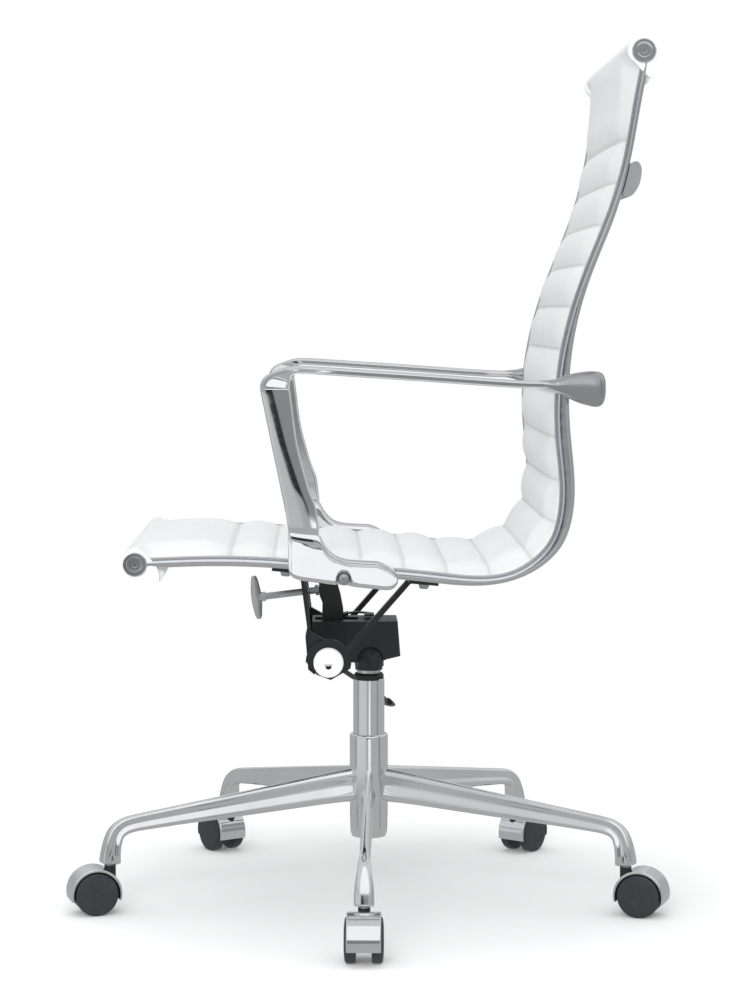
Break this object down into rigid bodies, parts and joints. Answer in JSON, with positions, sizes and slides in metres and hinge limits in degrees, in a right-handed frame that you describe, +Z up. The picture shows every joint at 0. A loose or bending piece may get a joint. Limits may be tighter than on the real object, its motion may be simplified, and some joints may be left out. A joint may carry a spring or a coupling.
{
  "type": "swivel office chair",
  "caption": "High-back swivel office chair: ribbed leather sling in polished side rails, loop arms, tilt and height adjustment, star base on twin-wheel casters.",
  "frame": {"origin": "point on the floor under the column axis", "axes": "+Z up; the chair faces -Y; +X is the sitter's left-hand side"},
  "size_m": [0.6743, 0.7009, 0.996],
  "materials": {
    "polished_aluminium": "mirror polished casting",
    "satin_aluminium": "satin painted casting",
    "chrome": "bright chrome",
    "black_steel": "black powder coat",
    "plain_steel": "zinc plated",
    "black_plastic": "moulded, fine texture",
    "white_plastic": "smooth moulded",
    "white_leather": "fine grain, sewn channels",
    "wheel_plastic": "matt grey-black tread and disc"
  },
  "bodies": {
    "base": {"star_base": "polished_aluminium", "caster_stems": "plain_steel", "column_tube": "chrome", "guide_bushing": "black_plastic", "thrust_bearing": "plain_steel"},
    "column_rod": {"piston_rod": "chrome", "retaining_clip": "plain_steel"},
    "lift": {"gas_cylinder": "chrome", "tilt_housing": "black_steel", "tilt_tube": "plain_steel", "torsion_bar": "plain_steel", "axle_end_caps": "white_plastic"},
    "release_button": {"release_button": "plain_steel"},
    "height_lever": {"height_lever": "black_steel", "lever_paddle": "black_plastic", "release_rocker": "black_steel"},
    "seat": {"carrier_left": "black_steel", "carrier_right": "black_steel", "front_cross_plate": "black_steel", "rear_cross_plate": "black_steel", "rail_left": "polished_aluminium", "rail_right": "polished_aluminium", "front_tube": "polished_aluminium", "top_tube": "polished_aluminium", "tube_end_caps": "polished_aluminium", "leather_sling": "white_leather", "back_spreader": "satin_aluminium", "upper_spreader": "satin_aluminium", "arm_left": "polished_aluminium", "arm_right": "polished_aluminium", "frame_bolts": "plain_steel"},
    "tension_screw": {"tension_rod": "chrome", "tension_handle": "chrome"},
    "torsion_arm": {"torsion_arm": "black_steel", "tension_nut": "black_steel"},
    "caster1": {"caster1_yoke": "black_plastic", "caster1_hood": "chrome", "caster1_axle": "plain_steel"},
    "caster1_wheel_a": {"caster1_wheel_a": "wheel_plastic"},
    "caster1_wheel_b": {"caster1_wheel_b": "wheel_plastic"},
    "caster2": {"caster2_yoke": "black_plastic", "caster2_hood": "chrome", "caster2_axle": "plain_steel"},
    "caster2_wheel_a": {"caster2_wheel_a": "wheel_plastic"},
    "caster2_wheel_b": {"caster2_wheel_b": "wheel_plastic"},
    "caster3": {"caster3_yoke": "black_plastic", "caster3_hood": "chrome", "caster3_axle": "plain_steel"},
    "caster3_wheel_a": {"caster3_wheel_a": "wheel_plastic"},
    "caster3_wheel_b": {"caster3_wheel_b": "wheel_plastic"},
    "caster4": {"caster4_yoke": "black_plastic", "caster4_hood": "chrome", "caster4_axle": "plain_steel"},
    "caster4_wheel_a": {"caster4_wheel_a": "wheel_plastic"},
    "caster4_wheel_b": {"caster4_wheel_b": "wheel_plastic"},
    "caster5": {"caster5_yoke": "black_plastic", "caster5_hood": "chrome", "caster5_axle": "plain_steel"},
    "caster5_wheel_a": {"caster5_wheel_a": "wheel_plastic"},
    "caster5_wheel_b": {"caster5_wheel_b": "wheel_plastic"}
  },
  "joints": [
    {"name": "seat_swivel", "type": "hinge", "parent": "base", "child": "column_rod", "pos_m": [0, 0, 0.1], "axis": [0, 0, 1], "continuous": true},
    {"name": "seat_height", "type": "slide", "parent": "column_rod", "child": "lift", "axis": [0, 0, 1], "range_m": [0, 0.1]},
    {"name": "seat_tilt", "type": "hinge", "parent": "lift", "child": "seat", "pos_m": [0, -0.0485, 0.2985], "axis": [-1, 0, 0], "range_deg": [0, 12], "stiffness_Nm_per_rad": 90, "springref_deg": -25.78},
    {"name": "height_lever", "type": "hinge", "parent": "lift", "child": "height_lever", "pos_m": [-0.0385, -0.03, 0.3332], "axis": [0, 1, 0], "range_deg": [0, 4], "stiffness_Nm_per_rad": 2, "springref_deg": -14.32},
    {"name": "valve_button", "type": "slide", "parent": "lift", "child": "release_button", "axis": [0, 0, -1], "range_m": [0, 0.003]},
    {"name": "tension_handle", "type": "hinge", "parent": "seat", "child": "tension_screw", "pos_m": [0, -0.1275, 0.3589], "axis": [0, 0.9928, 0.1201], "range_deg": [0, 1440]},
    {"name": "torsion_arm", "type": "hinge", "parent": "seat", "child": "torsion_arm", "pos_m": [0, -0.0485, 0.2985], "axis": [-1, 0, 0], "range_deg": [0, 2.5]},
    {"name": "caster1_swivel", "type": "hinge", "parent": "base", "child": "caster1", "pos_m": [0.31431, -0.01098, 0.05], "axis": [0, 0, 1], "continuous": true},
    {"name": "caster1_roll_a", "type": "hinge", "parent": "caster1", "child": "caster1_wheel_a", "pos_m": [0.3331, -0.01163, 0.025], "axis": [0.0349, 0.9994, 0], "continuous": true},
    {"name": "caster1_roll_b", "type": "hinge", "parent": "caster1", "child": "caster1_wheel_b", "pos_m": [0.3331, -0.01163, 0.025], "axis": [0.0349, 0.9994, 0], "continuous": true},
    {"name": "caster2_swivel", "type": "hinge", "parent": "base", "child": "caster2", "pos_m": [0.10756, 0.29553, 0.05], "axis": [0, 0, 1], "continuous": true},
    {"name": "caster2_roll_a", "type": "hinge", "parent": "caster2", "child": "caster2_wheel_a", "pos_m": [0.11399, 0.3132, 0.025], "axis": [-0.9397, 0.342, 0], "continuous": true},
    {"name": "caster2_roll_b", "type": "hinge", "parent": "caster2", "child": "caster2_wheel_b", "pos_m": [0.11399, 0.3132, 0.025], "axis": [-0.9397, 0.342, 0], "continuous": true},
    {"name": "caster3_swivel", "type": "hinge", "parent": "base", "child": "caster3", "pos_m": [-0.24783, 0.19363, 0.05], "axis": [0, 0, 1], "continuous": true},
    {"name": "caster3_roll_a", "type": "hinge", "parent": "caster3", "child": "caster3_wheel_a", "pos_m": [-0.26264, 0.2052, 0.025], "axis": [-0.6157, -0.788, 0], "continuous": true},
    {"name": "caster3_roll_b", "type": "hinge", "parent": "caster3", "child": "caster3_wheel_b", "pos_m": [-0.26264, 0.2052, 0.025], "axis": [-0.6157, -0.788, 0], "continuous": true},
    {"name": "caster4_swivel", "type": "hinge", "parent": "base", "child": "caster4", "pos_m": [-0.26073, -0.17587, 0.05], "axis": [0, 0, 1], "continuous": true},
    {"name": "caster4_roll_a", "type": "hinge", "parent": "caster4", "child": "caster4_wheel_a", "pos_m": [-0.27632, -0.18638, 0.025], "axis": [0.5592, -0.829, 0], "continuous": true},
    {"name": "caster4_roll_b", "type": "hinge", "parent": "caster4", "child": "caster4_wheel_b", "pos_m": [-0.27632, -0.18638, 0.025], "axis": [0.5592, -0.829, 0], "continuous": true},
    {"name": "caster5_swivel", "type": "hinge", "parent": "base", "child": "caster5", "pos_m": [0.08669, -0.30232, 0.05], "axis": [0, 0, 1], "continuous": true},
    {"name": "caster5_roll_a", "type": "hinge", "parent": "caster5", "child": "caster5_wheel_a", "pos_m": [0.09187, -0.32039, 0.025], "axis": [0.9613, 0.2756, 0], "continuous": true},
    {"name": "caster5_roll_b", "type": "hinge", "parent": "caster5", "child": "caster5_wheel_b", "pos_m": [0.09187, -0.32039, 0.025], "axis": [0.9613, 0.2756, 0], "continuous": true}
  ],
  "couplings": [
    {"joint": "valve_button", "follows": "height_lever", "m_per_rad": 0.0385},
    {"joint": "torsion_arm", "follows": "tension_handle", "ratio": 0.0017361}
  ]
}
